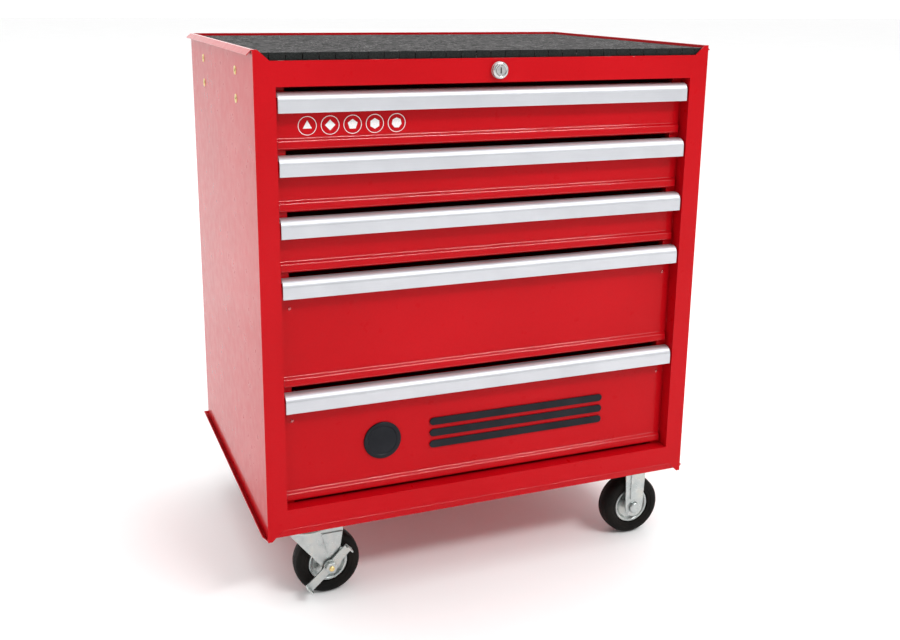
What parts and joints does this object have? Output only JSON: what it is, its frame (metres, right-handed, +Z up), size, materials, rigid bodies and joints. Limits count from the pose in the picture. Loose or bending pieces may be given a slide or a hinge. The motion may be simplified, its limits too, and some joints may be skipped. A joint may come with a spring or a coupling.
{
  "type": "tool cart",
  "caption": "Sheet-steel tool cart with stacked sliding drawers, full-width aluminium pulls, a matted top tray and locking swivel and rigid casters.",
  "frame": {"origin": "middle of the overall box, on the floor under the wheels", "axes": "+Z up, +X to the viewer's right, drawers open towards -Y"},
  "size_m": [0.701, 0.515, 0.808],
  "materials": {
    "red_paint": "glossy powder coat with fine orange peel",
    "aluminium": "satin anodised extrusion",
    "slide_steel": "bright galvanised",
    "zinc_plate": "zinc plated",
    "lock_chrome": "polished nickel",
    "tyre_rubber": "moulded black rubber",
    "mat_foam": "speckled closed-cell foam"
  },
  "bodies": {
    "cabinet": {"side_panel_left": "red_paint", "side_panel_right": "red_paint", "back_panel": "red_paint", "top_rail": "red_paint", "bottom_rail": "red_paint", "top_tray": "red_paint", "base_tray": "red_paint", "top_mat": "mat_foam", "lock_housing": "lock_chrome", "drawer_1_slide_outer_left": "slide_steel", "drawer_1_slide_outer_right": "slide_steel", "drawer_2_slide_outer_left": "slide_steel", "drawer_2_slide_outer_right": "slide_steel", "drawer_3_slide_outer_left": "slide_steel", "drawer_3_slide_outer_right": "slide_steel", "drawer_4_slide_outer_left": "slide_steel", "drawer_4_slide_outer_right": "slide_steel", "drawer_5_slide_outer_left": "slide_steel", "drawer_5_slide_outer_right": "slide_steel", "caster_front_left_plate": "zinc_plate", "caster_front_right_fork": "zinc_plate", "caster_front_right_axle": "zinc_plate", "caster_rear_left_plate": "zinc_plate", "caster_rear_right_fork": "zinc_plate", "caster_rear_right_axle": "zinc_plate"},
    "drawer_1": {"drawer_1_box": "red_paint", "drawer_1_handle": "aluminium", "drawer_1_slide_inner_left": "slide_steel", "drawer_1_slide_inner_right": "slide_steel"},
    "drawer_2": {"drawer_2_box": "red_paint", "drawer_2_handle": "aluminium", "drawer_2_slide_inner_left": "slide_steel", "drawer_2_slide_inner_right": "slide_steel"},
    "drawer_3": {"drawer_3_box": "red_paint", "drawer_3_handle": "aluminium", "drawer_3_slide_inner_left": "slide_steel", "drawer_3_slide_inner_right": "slide_steel"},
    "drawer_4": {"drawer_4_box": "red_paint", "drawer_4_handle": "aluminium", "drawer_4_slide_inner_left": "slide_steel", "drawer_4_slide_inner_right": "slide_steel"},
    "drawer_5": {"drawer_5_box": "red_paint", "drawer_5_handle": "aluminium", "drawer_5_slide_inner_left": "slide_steel", "drawer_5_slide_inner_right": "slide_steel"},
    "lock_plug": {"lock_plug": "lock_chrome"},
    "caster_front_left_swivel": {"caster_front_left_fork": "zinc_plate", "caster_front_left_axle": "zinc_plate"},
    "caster_front_left_wheel": {"caster_front_left_tyre": "tyre_rubber", "caster_front_left_hub": "zinc_plate"},
    "caster_front_left_brake": {"caster_front_left_brake_lever": "zinc_plate"},
    "caster_front_right_wheel": {"caster_front_right_tyre": "tyre_rubber", "caster_front_right_hub": "zinc_plate"},
    "caster_rear_left_swivel": {"caster_rear_left_fork": "zinc_plate", "caster_rear_left_axle": "zinc_plate"},
    "caster_rear_left_wheel": {"caster_rear_left_tyre": "tyre_rubber", "caster_rear_left_hub": "zinc_plate"},
    "caster_rear_left_brake": {"caster_rear_left_brake_lever": "zinc_plate"},
    "caster_rear_right_wheel": {"caster_rear_right_tyre": "tyre_rubber", "caster_rear_right_hub": "zinc_plate"}
  },
  "joints": [
    {"name": "drawer_1_slide", "type": "slide", "parent": "cabinet", "child": "drawer_1", "axis": [0, -1, 0], "range_m": [0, 0.33]},
    {"name": "drawer_2_slide", "type": "slide", "parent": "cabinet", "child": "drawer_2", "axis": [0, -1, 0], "range_m": [0, 0.33]},
    {"name": "drawer_3_slide", "type": "slide", "parent": "cabinet", "child": "drawer_3", "axis": [0, -1, 0], "range_m": [0, 0.33]},
    {"name": "drawer_4_slide", "type": "slide", "parent": "cabinet", "child": "drawer_4", "axis": [0, -1, 0], "range_m": [0, 0.33]},
    {"name": "drawer_5_slide", "type": "slide", "parent": "cabinet", "child": "drawer_5", "axis": [0, -1, 0], "range_m": [0, 0.33]},
    {"name": "lock_turn", "type": "hinge", "parent": "cabinet", "child": "lock_plug", "pos_m": [0, -0.2495, 0.77695], "axis": [0, 1, 0], "range_deg": [0, 90]},
    {"name": "caster_front_left_swivel_turn", "type": "hinge", "parent": "cabinet", "child": "caster_front_left_swivel", "pos_m": [-0.277, -0.2015, 0.05], "axis": [0, 0, 1], "continuous": true},
    {"name": "caster_front_left_wheel_spin", "type": "hinge", "parent": "caster_front_left_swivel", "child": "caster_front_left_wheel", "pos_m": [-0.247, -0.2015, 0.05], "axis": [0, 1, 0], "continuous": true},
    {"name": "caster_front_left_brake_press", "type": "hinge", "parent": "caster_front_left_swivel", "child": "caster_front_left_brake", "pos_m": [-0.247, -0.2015, 0.05], "axis": [0, 1, 0], "range_deg": [0, 22]},
    {"name": "caster_front_right_wheel_spin", "type": "hinge", "parent": "cabinet", "child": "caster_front_right_wheel", "pos_m": [0.277, -0.2015, 0.05], "axis": [0, 1, 0], "continuous": true},
    {"name": "caster_rear_left_swivel_turn", "type": "hinge", "parent": "cabinet", "child": "caster_rear_left_swivel", "pos_m": [-0.277, 0.2025, 0.05], "axis": [0, 0, 1], "continuous": true},
    {"name": "caster_rear_left_wheel_spin", "type": "hinge", "parent": "caster_rear_left_swivel", "child": "caster_rear_left_wheel", "pos_m": [-0.247, 0.2025, 0.05], "axis": [0, 1, 0], "continuous": true},
    {"name": "caster_rear_left_brake_press", "type": "hinge", "parent": "caster_rear_left_swivel", "child": "caster_rear_left_brake", "pos_m": [-0.247, 0.2025, 0.05], "axis": [0, 1, 0], "range_deg": [0, 22]},
    {"name": "caster_rear_right_wheel_spin", "type": "hinge", "parent": "cabinet", "child": "caster_rear_right_wheel", "pos_m": [0.277, 0.2025, 0.05], "axis": [0, 1, 0], "continuous": true}
  ]
}
